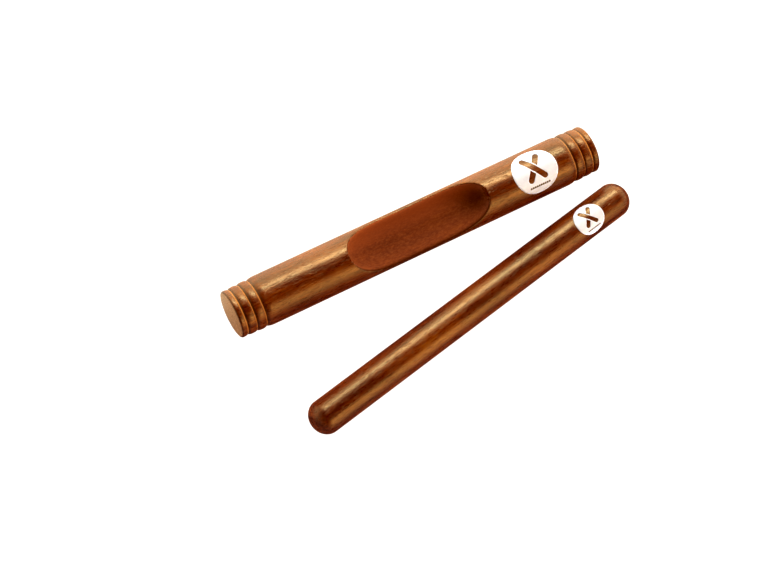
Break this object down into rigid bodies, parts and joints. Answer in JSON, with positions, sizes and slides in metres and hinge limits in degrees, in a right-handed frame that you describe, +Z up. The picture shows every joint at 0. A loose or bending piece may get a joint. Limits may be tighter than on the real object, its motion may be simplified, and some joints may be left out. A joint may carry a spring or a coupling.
{
  "type": "claves",
  "caption": "Pair of turned hardwood claves lying side by side: a grooved, hollowed clave that rings when struck, and a plain striker with rounded ends.",
  "frame": {"origin": "on the floor under the middle of the box round both sticks", "axes": "+X along the hollow clave towards its labelled end, +Z up out of its hollow, the striker on the -Y side"},
  "size_m": [0.264, 0.1062, 0.0322],
  "materials": {
    "clave_wood": "oiled and buffed red-brown hardwood, satin, matt inside the hollow",
    "striker_wood": "oiled and buffed red-brown hardwood, satin",
    "label": "smooth white paper"
  },
  "bodies": {
    "hollow_clave": {"hollow_clave": "clave_wood", "clave_label": "label"},
    "striker": {"striker": "striker_wood", "striker_label": "label"}
  },
  "joints": [
    {"name": "striker_lift", "type": "slide", "parent": "hollow_clave", "child": "striker", "axis": [0, 0, 1], "range_m": [0, 0.12]}
  ]
}
